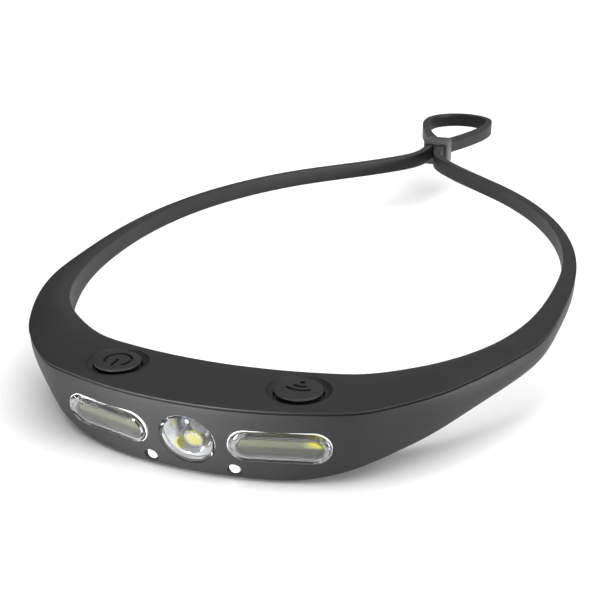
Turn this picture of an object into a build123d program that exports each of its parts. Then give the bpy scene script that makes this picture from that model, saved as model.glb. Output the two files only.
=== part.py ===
from build123d import *
from math import cos, radians, sin, sqrt, tan
import os

# A headlamp moulded into a one-piece silicone band: a curved lamp pod across the forehead, two thin
# straps that run back round the head, a friction slider and a tail loop. Millimetres.
# The origin is where the middle of the pod's inner face meets the forehead, at mid-height.
# The lamp looks along -Y, +Y runs to the back of the head and +Z is up.

# ---- driving dimensions -------------------------------------------------------------------------
POD_HEIGHT = 21.5
POD_DEPTH = 23.0
FRONT_RADIUS = 95.0  # the front edge in plan
FRONT_TILT = 14.0  # the front face looks this many degrees down
FOREHEAD_RADIUS = 118.0  # the inner face in plan
ARC_END = 25.0  # degrees either side over which the front edge is one arc

STRAP_HEIGHT = 5.8
STRAND_THICK = 3.0  # where the straps pass through the slider
STRAND_INNER = 1.1  # half of the gap between the two strands there
JOIN_Y = 60.0  # the jacket's arms end and the straps begin
SLIDER_Y = 242.5
LOOP_TIP_Y = 306.0

SKIN = 1.6  # silicone over the capsule's front
SKIN_TOP = 2.0
SKIN_BACK = 2.2
SKIN_BOTTOM = 1.8
SHELL_WALL = 1.2
FRAME_THICK = 3.4
SEAL_THICK = 0.6
CAPSULE_ARC = 43.0  # half of the capsule's length along the front arc
CAVITY_ARC = 38.5
FIT_GAP = 0.1

WINDOW_ARC = 23.2  # a floodlight window's centre along the front arc
WINDOW_LENGTH = 24.6
WINDOW_HEIGHT = 9.3
WINDOW_Z = 0.15
SPOT_RADIUS = 7.3
SPOT_Z = -0.45
SENSOR_ARC = 11.5
SENSOR_Z = -8.1
SENSOR_RADIUS = 1.6
LENS_PROUD = 0.9

BUTTON_X = 23.8
BUTTON_Y = -8.3
MOAT_RADIUS = 7.5
MOAT_DEPTH = 1.0
CAP_RADIUS = 5.9
CAP_PROUD = 0.5
CAP_THICK = 1.5
BUTTON_TRAVEL = 0.6

BOARD_Z = 3.0
BOARD_THICK = 1.0
SWITCH_HEIGHT = 2.2
PLUNGER_RADIUS = 1.0

PORT_X = -23.0
PORT_Y = -4.5
SOCKET_TOP = -1.9
SHELL_PORT = (9.3, 3.5)  # the slot round the socket in the rear shell, and the one in the silicone
JACKET_PORT = (9.7, 3.9)
FLAP_LENGTH = 14.0
FLAP_WIDTH = 7.8
FLAP_TOP = -9.55
PLUG_HEIGHT = 1.6  # the cover's plug, above the flap

SLIDER_WIDTH = 10.6
SLIDER_LENGTH = 9.0
SLIDER_HEIGHT = 10.4
SLIDER_DROP = 0.7  # the block's middle lies this much under the strands' middle
CHANNEL_GAP = 0.25

LENS_INSET = 0.2  # a lens is this much smaller than its window all round
LIP = 0.9  # the flange behind the silicone
FLANGE_FRONT, FLANGE_BACK = 2.6, 3.4
SCREW_ARC = 40.8
SCREW_HEIGHTS = (4.5, -1.0)
BATTERY_FRONT, BATTERY_BACK = -9.0, -3.7
BATTERY_LEFT, BATTERY_RIGHT = -16.0, 24.0
BATTERY_LOW, BATTERY_HIGH = -6.5, 2.4
CONNECTOR_LEFT, CONNECTOR_RIGHT = 26.4, 29.4

Z_TOP = POD_HEIGHT / 2
Z_BOTTOM = -POD_HEIGHT / 2
STRAP_BOTTOM = Z_TOP - STRAP_HEIGHT
SWITCH_TOP = BOARD_Z + BOARD_THICK + SWITCH_HEIGHT
CAPSULE_TOP = Z_TOP - SKIN_TOP
CAPSULE_BOTTOM = Z_BOTTOM + SKIN_BOTTOM
ARC_CENTRE_Y = FRONT_RADIUS - POD_DEPTH
TILT = radians(FRONT_TILT)

# the rest of the pod's front edge, from the end of the arc to the strap, right-hand side:
# x, y and how far the foot of the wall is set back there
ARM_EDGE = [(55.3, 1.3, 4.4), (65.8, 21.0, 3.0), (72.6, 39.3, 1.6), (75.2, JOIN_Y, 0.8)]
# the inner face of the pod and its arm
INNER_EDGE = [(22.0, 2.0), (34.0, 5.0), (46.0, 13.0), (55.0, 22.5), (63.5, 37.0), (67.6, 49.0), (69.6, JOIN_Y)]
# the underside rises towards the straps: x and z
KEEL = [
    (24.0, Z_BOTTOM),
    (32.0, -9.75),
    (40.0, -7.4),
    (48.0, -4.7),
    (55.0, -2.2),
    (61.0, 0.1),
    (67.0, 2.5),
    (71.5, 4.2),
    (74.4, STRAP_BOTTOM),
]
# the strap's outer edge and its thickness
STRAP_EDGE = [
    (75.2, JOIN_Y, 5.6),
    (76.0, 79.0, 4.6),
    (75.0, 101.0, 3.6),
    (70.4, 125.0, 3.0),
    (61.0, 149.5, 2.7),
    (42.2, 179.0, 2.6),
    (22.8, 199.8, 2.7),
    (11.8, 212.7, 2.9),
    (5.9, 222.5, 3.0),
    (4.2, 231.0, 3.0),
    (4.1, 236.0, 3.0),
]
# the tail loop's outer edge, from the slider to its tip
LOOP_EDGE = [
    (4.1, 247.6),
    (7.3, 256.5),
    (11.2, 267.0),
    (14.1, 277.5),
    (15.2, 288.0),
    (12.7, 298.6),
    (0.0, LOOP_TIP_Y),
]

os.makedirs("parts", exist_ok=True)


def save(name, shape):
    """Writes one node."""
    export_step(shape, f"parts/{name}.step")


def mirrored(points):
    """The same points on the other side, in reverse order."""
    return [(-x, y) for x, y in reversed(points)]


def front_radius(z, depth=0.0):
    """Plan radius, at height z, of the surface that lies depth inside the pod's front face."""
    return FRONT_RADIUS - (Z_TOP - z) * tan(TILT) - depth / cos(TILT)


def on_arc(radius, angle):
    """Plan point at that angle, in radians, about the centre of the front arc."""
    return (radius * sin(angle), ARC_CENTRE_Y - radius * cos(angle))


def front_plane(arc, z):
    """Plane on the front face: arc is the distance along it from the middle, x runs along, z outward."""
    angle = arc / FRONT_RADIUS
    x, y = on_arc(front_radius(z), angle)
    outward = (sin(angle) * cos(TILT), -cos(angle) * cos(TILT), -sin(TILT))
    return Plane(origin=(x, y, z), x_dir=(cos(angle), sin(angle), 0), z_dir=outward)


def plug(plane, shape, start, end):
    """A prism on a front plane from depth start to depth end, counted inward."""
    return extrude(plane.offset(-end) * shape, amount=end - start)


# ---- pod and straps -----------------------------------------------------------------------------
def pod_outline(z, setback):
    """Plan outline of the pod at height z; setback scales how far the foot of the wall goes in."""
    radius = front_radius(z)
    arc_end = radians(ARC_END)
    right = on_arc(radius, arc_end)
    left = on_arc(radius, -arc_end)
    edge = [(x - inset * setback, y) for x, y, inset in ARM_EDGE]
    front = ThreePointArc(left, on_arc(radius, 0), right)
    start_dir = (cos(arc_end), sin(arc_end))
    right_arm = Spline(right, *edge, tangents=[start_dir, (0.08, 1)])
    left_arm = Spline(*mirrored([right, *edge]), tangents=[(0.08, -1), (start_dir[0], -start_dir[1])])
    inner = Spline(*reversed(INNER_EDGE), (0, 0), *[(-x, y) for x, y in INNER_EDGE])
    right_end = Line(edge[-1], INNER_EDGE[-1])
    left_end = Line((-INNER_EDGE[-1][0], JOIN_Y), (-edge[-1][0], edge[-1][1]))
    return Pos(0, 0, z) * make_face([left_arm, front, right_arm, right_end, inner, left_end])


def below_keel(rise):
    """Everything under the pod's underside, moved up by rise."""
    knots = [(x, z + rise) for x, z in KEEL]
    right = Spline(*knots, tangents=[(1, 0), (1, 0)])
    left = Spline(*mirrored(knots), tangents=[(1, 0), (1, 0)])
    middle = Line((-knots[0][0], knots[0][1]), knots[0])
    side, floor = 90.0, -40.0
    frame = Polyline(knots[-1], (side, knots[-1][1]), (side, floor), (-side, floor), (-side, knots[-1][1]),
                     (-knots[-1][0], knots[-1][1]))
    section = make_face([left, middle, right, frame])
    plane = Plane(origin=(0, JOIN_Y + 10, 0), x_dir=(1, 0, 0), z_dir=(0, -1, 0))
    return extrude(plane * section, amount=140)


def back_distance(angle, inset):
    """Distance from the front arc's centre to the inner face, moved inward by inset."""
    gap = FOREHEAD_RADIUS - ARC_CENTRE_Y
    radius = FOREHEAD_RADIUS + inset
    return -gap * cos(angle) + sqrt((gap * cos(angle)) ** 2 - gap**2 + radius**2)


def sector(z, half_arc, near, far=None, back=None):
    """Plan face between two depths under the front, or from a depth to the back wall moved in by back."""
    angle = half_arc / FRONT_RADIUS
    outer = front_radius(z, near)
    if back is None:
        inner_end = front_radius(z, far)
        inner_mid = inner_end
    else:
        inner_end = back_distance(angle, back)
        inner_mid = back_distance(0, back)
    a, b, c = (on_arc(outer, t) for t in (-angle, 0, angle))
    d, e, f = on_arc(inner_end, angle), on_arc(inner_mid, 0), on_arc(inner_end, -angle)
    edges = [ThreePointArc(a, b, c), Line(c, d), ThreePointArc(d, e, f), Line(f, a)]
    return Pos(0, 0, z) * make_face(edges)


def curved_block(low, high, half_arc, near, far=None, back=None):
    """A block that follows the pod, with the pod's tilted front."""
    return loft([sector(low, half_arc, near, far, back), sector(high, half_arc, near, far, back)], ruled=True)


def capsule_space(gap):
    """The space of the hard capsule inside the jacket, with a gap all round."""
    block = curved_block(CAPSULE_BOTTOM - gap, CAPSULE_TOP + gap, CAPSULE_ARC + gap, SKIN - gap,
                         back=SKIN_BACK - gap)
    return block - below_keel(SKIN_BOTTOM - gap)


def cavity(clear):
    """The free space inside the rear shell, kept clear of its walls."""
    wall = SHELL_WALL + clear
    block = curved_block(CAPSULE_BOTTOM + wall, CAPSULE_TOP - wall, CAVITY_ARC - clear,
                         SKIN + FRAME_THICK + clear, back=SKIN_BACK + wall)
    return block - below_keel(SKIN_BOTTOM + wall)


def pod_body():
    """The pod's outer shape, solid."""
    block = loft([pod_outline(Z_BOTTOM, 1.0), pod_outline(Z_TOP, 0.0)], ruled=True)
    return block - below_keel(0)


def flap_space(gap):
    """The pocket for the port cover, and the port cover itself when the gap is taken off."""
    length = FLAP_LENGTH - 2 * gap
    width = FLAP_WIDTH - 2 * gap
    return Pos(PORT_X, PORT_Y, (FLAP_TOP - 20) / 2) * Box(length, width, 20 + FLAP_TOP)


def windows():
    """Cutters for the openings in the silicone: two floodlights, the spot and two sensors."""
    cutters = []
    for side in (-1, 1):
        flood = front_plane(side * WINDOW_ARC, WINDOW_Z)
        cutters.append(plug(flood, SlotOverall(WINDOW_LENGTH, WINDOW_HEIGHT), -3, 4))
        sensor = front_plane(side * SENSOR_ARC, SENSOR_Z)
        cutters.append(plug(sensor, Circle(SENSOR_RADIUS), -2, 3))
    cutters.append(plug(front_plane(0, SPOT_Z), Circle(SPOT_RADIUS), -3, 4))
    return cutters


def make_jacket():
    """The silicone skin of the pod with its two arms."""
    jacket = pod_body() - capsule_space(FIT_GAP)
    for cutter in windows():
        jacket -= cutter
    for side in (-1, 1):
        spot = Pos(side * BUTTON_X, BUTTON_Y, Z_TOP)
        jacket -= spot * Cylinder(MOAT_RADIUS, 2 * MOAT_DEPTH)
        jacket -= spot * Cylinder(CAP_RADIUS + 0.25, 2 * (SKIN_TOP + 0.5))
    jacket -= Pos(0, 0, 0.2) * flap_space(0)
    jacket -= Pos(PORT_X, PORT_Y, FLAP_TOP) * extrude(SlotOverall(*JACKET_PORT), amount=2.5, both=True)
    return jacket


def outline_offset(points, widths, side):
    """Points moved to one side of a spline by the width at each."""
    line = Spline(*points)
    moved = []
    for point, width in zip(points, widths):
        along = line.tangent_at(Vector(*point))
        moved.append((point[0] + side * along.Y * width, point[1] - side * along.X * width))
    return moved


def make_strap(side):
    """One strap, from the pod's arm to the middle of the slider."""
    outer = [(side * x, y) for x, y, _ in STRAP_EDGE]
    inner = outline_offset(outer, [w for _, _, w in STRAP_EDGE], -side)
    inner[0] = (side * INNER_EDGE[-1][0], JOIN_Y)
    inner[-1] = (side * STRAND_INNER, outer[-1][1])
    edges = [
        Spline(*outer, tangents=[(side * 0.08, 1), (0, 1)]),
        Line(outer[-1], (outer[-1][0], SLIDER_Y)),
        Line((outer[-1][0], SLIDER_Y), (inner[-1][0], SLIDER_Y)),
        Line((inner[-1][0], SLIDER_Y), inner[-1]),
        Spline(*reversed(inner)),
        Line(inner[0], outer[0]),
    ]
    return extrude(Pos(0, 0, STRAP_BOTTOM) * make_face(edges), amount=STRAP_HEIGHT)


def make_tail_loop():
    """The loop behind the slider."""
    half_outer = LOOP_EDGE[:-1]
    tip = LOOP_EDGE[-1]
    outer = [*half_outer, tip, *mirrored(half_outer)]
    widths = [STRAND_THICK] * len(outer)
    inner = outline_offset(outer, widths, -1)
    ends = STRAND_INNER + STRAND_THICK
    inner[0] = (STRAND_INNER, outer[0][1])
    inner[-1] = (-STRAND_INNER, outer[-1][1])
    edges = [
        Line((ends, SLIDER_Y), outer[0]),
        Spline(*outer, tangents=[(0, 1), (0, -1)]),
        Line(outer[-1], (-ends, SLIDER_Y)),
        Line((-ends, SLIDER_Y), (-STRAND_INNER, SLIDER_Y)),
        Line((-STRAND_INNER, SLIDER_Y), inner[-1]),
        Spline(*reversed(inner), tangents=[(0, 1), (0, -1)]),
        Line(inner[0], (STRAND_INNER, SLIDER_Y)),
        Line((STRAND_INNER, SLIDER_Y), (ends, SLIDER_Y)),
    ]
    return extrude(Pos(0, 0, STRAP_BOTTOM) * make_face(edges), amount=STRAP_HEIGHT)


def make_slider():
    """A block with one channel for each strand, a web between them and three grip grooves on top."""
    strand_z = Z_TOP - STRAP_HEIGHT / 2
    block = fillet(Box(SLIDER_WIDTH, SLIDER_LENGTH, SLIDER_HEIGHT).edges().filter_by(Axis.Y), 0.8)
    block = Pos(0, SLIDER_Y, strand_z - SLIDER_DROP) * block
    channel = Box(STRAND_THICK + 2 * CHANNEL_GAP, SLIDER_LENGTH + 2, STRAP_HEIGHT + 2 * CHANNEL_GAP)
    for side in (-1, 1):
        block -= Pos(side * (STRAND_INNER + STRAND_THICK / 2), SLIDER_Y, strand_z) * channel
    top = strand_z - SLIDER_DROP + SLIDER_HEIGHT / 2
    for step in (-1, 0, 1):
        block -= Pos(0, SLIDER_Y + step * 2.2, top) * Box(6.0, 0.7, 0.5)
    return block


# ---- lamp parts ---------------------------------------------------------------------------------


def make_front_frame():
    """The hard frame that holds the lenses, the floodlight boards and the spot."""
    frame = curved_block(CAPSULE_BOTTOM, CAPSULE_TOP, CAPSULE_ARC, SKIN, far=SKIN + FRAME_THICK)
    frame -= below_keel(SKIN_BOTTOM)
    for side in (-1, 1):
        flood = front_plane(side * WINDOW_ARC, WINDOW_Z)
        flange = SlotOverall(WINDOW_LENGTH + 2 * LIP, WINDOW_HEIGHT + 2 * LIP)
        frame -= plug(flood, flange, 0, FLANGE_BACK + 0.05)
        frame -= plug(flood, SlotOverall(WINDOW_LENGTH - 0.5, WINDOW_HEIGHT - 0.5), 0, 9)
        sensor = front_plane(side * SENSOR_ARC, SENSOR_Z)
        frame -= plug(sensor, Circle(SENSOR_RADIUS), 0, 8)
        for z in SCREW_HEIGHTS:
            frame -= plug(front_plane(side * SCREW_ARC, z), Circle(0.95), 2.5, 8)
    spot = front_plane(0, SPOT_Z)
    frame -= plug(spot, Circle(SPOT_RADIUS + LIP), 0, FLANGE_BACK + 0.05)
    frame -= plug(spot, Circle(6.75), 0, 9)
    return frame


def make_rear_shell():
    """The capsule's tray, screwed to the frame from behind."""
    near = SKIN + FRAME_THICK + SEAL_THICK
    shell = curved_block(CAPSULE_BOTTOM, CAPSULE_TOP, CAPSULE_ARC, near, back=SKIN_BACK)
    shell -= below_keel(SKIN_BOTTOM)
    shell -= cavity(0)
    for side in (-1, 1):
        shell -= Pos(side * BUTTON_X, BUTTON_Y, CAPSULE_TOP) * Cylinder(2.2, 6)
        for z in SCREW_HEIGHTS:
            hole = front_plane(side * SCREW_ARC, z)
            shell -= plug(hole, Circle(1.1), 4, 10)
            shell -= plug(hole, Circle(1.95), 9.4, 24)
    shell -= Pos(PORT_X, PORT_Y, CAPSULE_BOTTOM) * extrude(SlotOverall(*SHELL_PORT), amount=3, both=True)
    return shell


def make_case_seal():
    """The soft ring between the frame and the rear shell."""
    near = SKIN + FRAME_THICK
    ring = curved_block(CAPSULE_BOTTOM, CAPSULE_TOP, CAPSULE_ARC, near, far=near + SEAL_THICK)
    ring -= below_keel(SKIN_BOTTOM)
    ring -= cavity(0)
    for side in (-1, 1):
        for z in SCREW_HEIGHTS:
            ring -= plug(front_plane(side * SCREW_ARC, z), Circle(1.1), 3, 8)
    return ring


def make_case_screws():
    """Four equal screws that clamp the rear shell to the frame."""
    screws = []
    for side in (-1, 1):
        for z in SCREW_HEIGHTS:
            plane = front_plane(side * SCREW_ARC, z)
            screw = plug(plane, Circle(0.9), 2.7, 9.5) + plug(plane, Circle(1.7), 9.45, 10.7)
            screw -= plug(plane, RegularPolygon(0.75, 6), 10.0, 11.0)
            screws.append(screw)
    return Compound(children=screws)


def make_cob_lens(plane):
    """A clear oblong block with a bevelled face, a flange and a hollow back."""
    length, height = WINDOW_LENGTH - 2 * LENS_INSET, WINDOW_HEIGHT - 2 * LENS_INSET
    lens = plug(Plane.XY, SlotOverall(length, height), -LENS_PROUD, FLANGE_BACK)
    lens = chamfer(lens.faces().sort_by(Axis.Z)[-1].edges(), 0.6)
    lens += plug(Plane.XY, SlotOverall(length + 1.8, height + 1.8), FLANGE_FRONT, FLANGE_BACK)
    lens -= plug(Plane.XY, SlotOverall(length - 3.2, height - 3.2), 1.0, FLANGE_BACK + 1)
    return plane.location * lens


def make_cob_set(side, name):
    """Lens, bright frame, phosphor strip and board of one floodlight."""
    plane = front_plane(side * WINDOW_ARC, WINDOW_Z)
    save(f"cob_lens_{name}", make_cob_lens(plane))
    rim = plug(plane, SlotOverall(23.8, 8.5), 3.5, 4.9) - plug(plane, SlotOverall(20.6, 5.6), 3, 5.5)
    save(f"reflector_frame_{name}", rim)
    save(f"phosphor_strip_{name}", plug(plane, SlotOverall(20.2, 5.2), 1.8, 4.9))
    save(f"cob_board_{name}", plug(plane, SlotOverall(23.6, 8.4), 4.95, 5.95))


def revolve_on(plane, outline):
    """Turns a closed outline of (radius, depth) points about the plane's axis."""
    section = make_face(Polyline(*[(r, -d) for r, d in outline], close=True))
    upright = Plane(origin=(0, 0, 0), x_dir=(1, 0, 0), z_dir=(0, -1, 0))
    return plane.location * revolve(upright * section, Axis.Z)


def make_spot_set():
    """Cover lens, bright cup, collimator, LED, board and heat spreader of the spot."""
    plane = front_plane(0, SPOT_Z)
    rim = SPOT_RADIUS - LENS_INSET
    cover = [(0, -1.9), (2.4, -1.75), (4.6, -1.3), (6.2, -0.7), (rim, 0.2), (rim, FLANGE_FRONT),
             (rim + 0.8, FLANGE_FRONT), (rim + 0.8, FLANGE_BACK), (6.3, FLANGE_BACK), (6.0, 0.9),
             (4.4, 0.1), (2.3, -0.4), (0, -0.55)]
    save("spot_lens", revolve_on(plane, cover))
    cup = [(6.65, 3.5), (6.65, 4.3), (5.4, 4.3), (4.2, 6.3), (3.2, 6.3), (4.4, 4.6), (6.1, 3.5)]
    save("spot_reflector", revolve_on(plane, cup))
    bead = [(0, 1.3), (1.5, 1.55), (2.6, 2.2), (3.1, 3.2), (3.1, 5.6), (2.6, 6.3), (1.9, 6.3), (1.9, 5.4),
            (0, 5.4)]
    save("spot_collimator", revolve_on(plane, bead))
    led = plug(plane, Rectangle(2.4, 2.4), 5.75, 6.35) + plug(plane, Circle(0.9), 5.5, 5.8)
    save("spot_led", led)
    save("spot_led_board", plug(plane, SlotOverall(15.4, 8.4), 6.35, 7.35))
    save("heat_spreader", plug(plane, SlotOverall(15.4, 8.4), 7.35, 8.35))


def make_sensor_set():
    """The two sensor windows with the emitter and the receiver behind them."""
    for side, window, device in ((-1, "sensor_window_emitter", "ir_emitter"),
                                 (1, "sensor_window_receiver", "ir_receiver")):
        plane = front_plane(side * SENSOR_ARC, SENSOR_Z)
        radius = SENSOR_RADIUS - 0.05
        dome = [(0, -0.1), (0.9, 0.05), (radius, 0.5), (radius, 3.0), (0, 3.0)]
        save(window, revolve_on(plane, dome))
        bulb = [(0, 3.1), (0.8, 3.25), (1.3, 3.8), (1.3, 4.4), (1.5, 4.4), (1.5, 4.95), (0, 4.95)]
        save(device, revolve_on(plane, bulb))


# ---- buttons ------------------------------------------------------------------------------------


def make_button(side, cap_name, switch_name):
    """Cap with its stem, the switch on the board and the switch's plunger."""
    top = Z_TOP + CAP_PROUD
    stem_foot = SWITCH_TOP + BUTTON_TRAVEL + 0.2
    place = Pos(side * BUTTON_X, BUTTON_Y, 0)
    disc = Pos(0, 0, top - CAP_THICK / 2) * Cylinder(CAP_RADIUS, CAP_THICK)
    disc = chamfer(disc.edges().group_by(Axis.Z)[-1], 0.4)
    stem_height = top - CAP_THICK - stem_foot
    stem = Pos(0, 0, stem_foot + stem_height / 2) * Cylinder(1.8, stem_height + 0.02)
    save(cap_name, place * (disc + stem))
    body_z = BOARD_Z + BOARD_THICK + SWITCH_HEIGHT / 2
    body = Pos(0, 0, body_z) * Box(4.5, 4.5, SWITCH_HEIGHT)
    body -= Pos(0, 0, SWITCH_TOP) * Cylinder(PLUNGER_RADIUS + 0.05, 2 * (SWITCH_HEIGHT - 0.6))
    save(switch_name, place * body)
    plunger_foot = SWITCH_TOP - BUTTON_TRAVEL - 0.3
    plunger_height = stem_foot - 0.01 - plunger_foot
    plunger = Pos(0, 0, plunger_foot + plunger_height / 2) * Cylinder(PLUNGER_RADIUS, plunger_height)
    save(f"{switch_name}_plunger", place * plunger)


# ---- electronics --------------------------------------------------------------------------------


def box_between(low, high):
    """A box given by two corners."""
    size = [b - a for a, b in zip(low, high)]
    middle = [(a + b) / 2 for a, b in zip(low, high)]
    return Pos(*middle) * Box(*size)


def make_electronics():
    """Boards, chip, coil, cell, its pad, plug and leads."""
    slab = curved_block(BOARD_Z, BOARD_Z + BOARD_THICK, 34, 6.5, back=SKIN_BACK + SHELL_WALL + 0.6)
    spot_notch = box_between((-8.6, -30, 0), (8.6, -10.6, 10))
    save("main_board", slab - spot_notch)
    board_top = BOARD_Z + BOARD_THICK
    save("controller_chip", box_between((-3, -10, board_top), (3, -4.5, board_top + 1.0)))
    coil = Pos(-11, -8.0, board_top + 1.1) * Cylinder(2.6, 2.2)
    save("driver_coil", fillet(coil.edges(), 0.4))
    cell = box_between((BATTERY_LEFT, BATTERY_FRONT, BATTERY_LOW), (BATTERY_RIGHT, BATTERY_BACK, BATTERY_HIGH))
    save("battery_cell", fillet(cell.edges().filter_by(Axis.X), 1.2))
    save("battery_pad", box_between((-14, -8.4, BATTERY_HIGH), (21, -4.5, BOARD_Z)))
    save("battery_connector", box_between((CONNECTOR_LEFT, -8.2, 0.6), (CONNECTOR_RIGHT, -4.2, BOARD_Z)))
    for name, y in (("battery_lead_positive", -7.2), ("battery_lead_negative", -5.2)):
        along = Plane(origin=(BATTERY_RIGHT, y, 1.4), z_dir=(1, 0, 0))
        save(name, extrude(along * Circle(0.5), amount=CONNECTOR_LEFT - BATTERY_RIGHT))


def make_port():
    """Charging socket, its board, header and lamp, and the sealing cover with its plug."""
    mouth_z = CAPSULE_BOTTOM + 0.05
    tall = SOCKET_TOP - mouth_z
    base = Pos(PORT_X, PORT_Y, mouth_z)
    socket = base * extrude(SlotOverall(9.0, 3.2), amount=tall)
    socket -= base * extrude(SlotOverall(8.34, 2.54), amount=tall - 0.6)
    tongue_tip = mouth_z + 1.7
    tongue = box_between((PORT_X - 3.3, PORT_Y - 0.35, tongue_tip), (PORT_X + 3.3, PORT_Y + 0.35, SOCKET_TOP))
    save("usb_c_socket", socket + tongue)
    board_top = SOCKET_TOP + 0.8
    board = box_between((PORT_X - 5.2, PORT_Y - 2.8, SOCKET_TOP), (PORT_X + 5.8, PORT_Y + 2.2, board_top))
    save("charge_board", board)
    header = box_between((PORT_X - 3.8, PORT_Y - 1.3, board_top), (PORT_X + 3.8, PORT_Y + 1.2, BOARD_Z))
    save("board_header", header)
    light_x = PORT_X + 5.1
    light_low = SOCKET_TOP - 0.7
    light = box_between((light_x - 0.4, PORT_Y - 0.8, light_low), (light_x + 0.4, PORT_Y + 0.8, SOCKET_TOP))
    save("charge_light", light)
    cover = flap_space(0.3) & pod_body()
    plug_middle = Pos(PORT_X + 0.4, PORT_Y, FLAP_TOP + PLUG_HEIGHT / 2 - 0.05)
    boss = plug_middle * Box(5.2, 1.8, PLUG_HEIGHT + 0.1)
    save("port_cover", cover + boss)


save("silicone_jacket", make_jacket())
save("strap_left", make_strap(-1))
save("strap_right", make_strap(1))
save("tail_loop", make_tail_loop())
save("strap_slider", make_slider())
save("front_frame", make_front_frame())
save("rear_shell", make_rear_shell())
save("case_seal", make_case_seal())
save("case_screws", make_case_screws())
make_cob_set(-1, "left")
make_cob_set(1, "right")
make_spot_set()
make_sensor_set()
make_button(-1, "power_button", "power_switch")
make_button(1, "sensor_button", "sensor_switch")
make_electronics()
make_port()
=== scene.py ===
"""The headlamp's looks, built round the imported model: band, lenses, buttons, slider and materials."""

import bpy
import bmesh
import numpy as np
from math import cos, pi, radians, sin, sqrt, tan
from mathutils import Matrix, Vector


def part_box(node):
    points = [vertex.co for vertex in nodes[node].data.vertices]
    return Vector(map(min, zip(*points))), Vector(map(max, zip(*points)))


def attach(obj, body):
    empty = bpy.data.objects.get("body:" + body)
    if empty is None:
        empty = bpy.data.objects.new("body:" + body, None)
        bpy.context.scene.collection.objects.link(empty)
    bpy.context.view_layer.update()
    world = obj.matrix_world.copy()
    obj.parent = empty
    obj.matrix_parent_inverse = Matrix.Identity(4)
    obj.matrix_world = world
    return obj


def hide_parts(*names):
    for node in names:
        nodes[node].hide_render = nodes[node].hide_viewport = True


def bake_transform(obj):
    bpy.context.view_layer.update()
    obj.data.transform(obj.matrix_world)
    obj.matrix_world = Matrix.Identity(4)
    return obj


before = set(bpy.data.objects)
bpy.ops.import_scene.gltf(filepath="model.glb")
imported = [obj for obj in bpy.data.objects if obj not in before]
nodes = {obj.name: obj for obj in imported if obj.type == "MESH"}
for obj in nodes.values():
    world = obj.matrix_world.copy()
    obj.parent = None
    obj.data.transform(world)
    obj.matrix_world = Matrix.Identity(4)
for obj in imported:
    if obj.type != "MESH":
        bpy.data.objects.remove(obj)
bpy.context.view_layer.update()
MM = 0.001

# ---- sizes in millimetres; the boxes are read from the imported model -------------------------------
jacket_low, jacket_high = (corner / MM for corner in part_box("silicone_jacket"))
slider_low, slider_high = (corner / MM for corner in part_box("strap_slider"))
cap_low, cap_high = (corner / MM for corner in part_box("power_button"))
flap_low, flap_high = (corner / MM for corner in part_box("port_cover"))
socket_low, socket_high = (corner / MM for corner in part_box("usb_c_socket"))

Z_TOP = jacket_high.z
POD_DEPTH = 23.0
FRONT_RADIUS = 95.0
FRONT_TILT = radians(14.0)
ARC_CENTRE_Y = FRONT_RADIUS - POD_DEPTH
STRAP_HEIGHT = 5.8
STRAND_THICK = 3.0
STRAND_OUTER = 4.1  # from the middle to the outer side of a strap inside the slider
CAP_RADIUS = (cap_high.x - cap_low.x) / 2
BUTTON_X = -(cap_high.x + cap_low.x) / 2
BUTTON_Y = (cap_high.y + cap_low.y) / 2
CAP_TOP = cap_high.z
CAP_GAP = 0.25  # between a cap and the well that it moves in
MOAT_RADIUS = 7.5
WINDOW_ARC, WINDOW_Z = 23.2, 0.15
WINDOW_LENGTH, WINDOW_HEIGHT = 24.6, 9.3
SPOT_Z, SPOT_RADIUS = -0.45, 7.3
SENSOR_ARC, SENSOR_Z, SENSOR_RADIUS = 11.5, -8.1, 1.6
SENSOR_GAP = 0.12
BEAD_ARC = 1.5  # the spot's inner lens sits this far along the arc from the spot's middle
STRIP_DROP = 0.7  # the strip and the lens's hollow lie this much under the window's middle
FOREHEAD_RADIUS = 118.0
SKIN, SKIN_TOP, SKIN_BACK = 1.6, 2.0, 2.2  # silicone over the capsule in front, on top and behind
CAPSULE_ARC = 43.1
CAPSULE_GAP = 0.1  # the silicone is this much thinner over the capsule, to keep clear of it
# the underside is level near the middle and then rises with the square of the distance
KEEL_START, KEEL_RISE = 24.0, 0.017
# the floor of the capsule's space rises outward: distance along the front arc, and height
CAPSULE_ROOM = ((0, 26, 34, 43.1), (-9.05, -9.05, -7.6, -4.6))
POCKET_TOP = -9.35
POCKET_GROW, POCKET_CORNER = 0.3, 1.5
PORT_GROW = 0.7  # the opening round the USB socket is this much longer and wider than the socket
LEFT_LEAN, RIGHT_SPREAD = 1.3, 0.7
LOOP_BULGE = 1.08  # the loop's left half is this much wider than its right half
CHANNEL_GAP = 0.22  # between a strap and the side of its channel in the slider
RIB_COUNT, RIB_START, RIB_STEP = 4, 1.6, 0.95
SIGN_DEPTH, SIGN_WIDTH = 0.55, 0.78
POWER_CENTRE, WAVE_CENTRE = (0, 0.3), (-0.2, 3.2)

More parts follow.
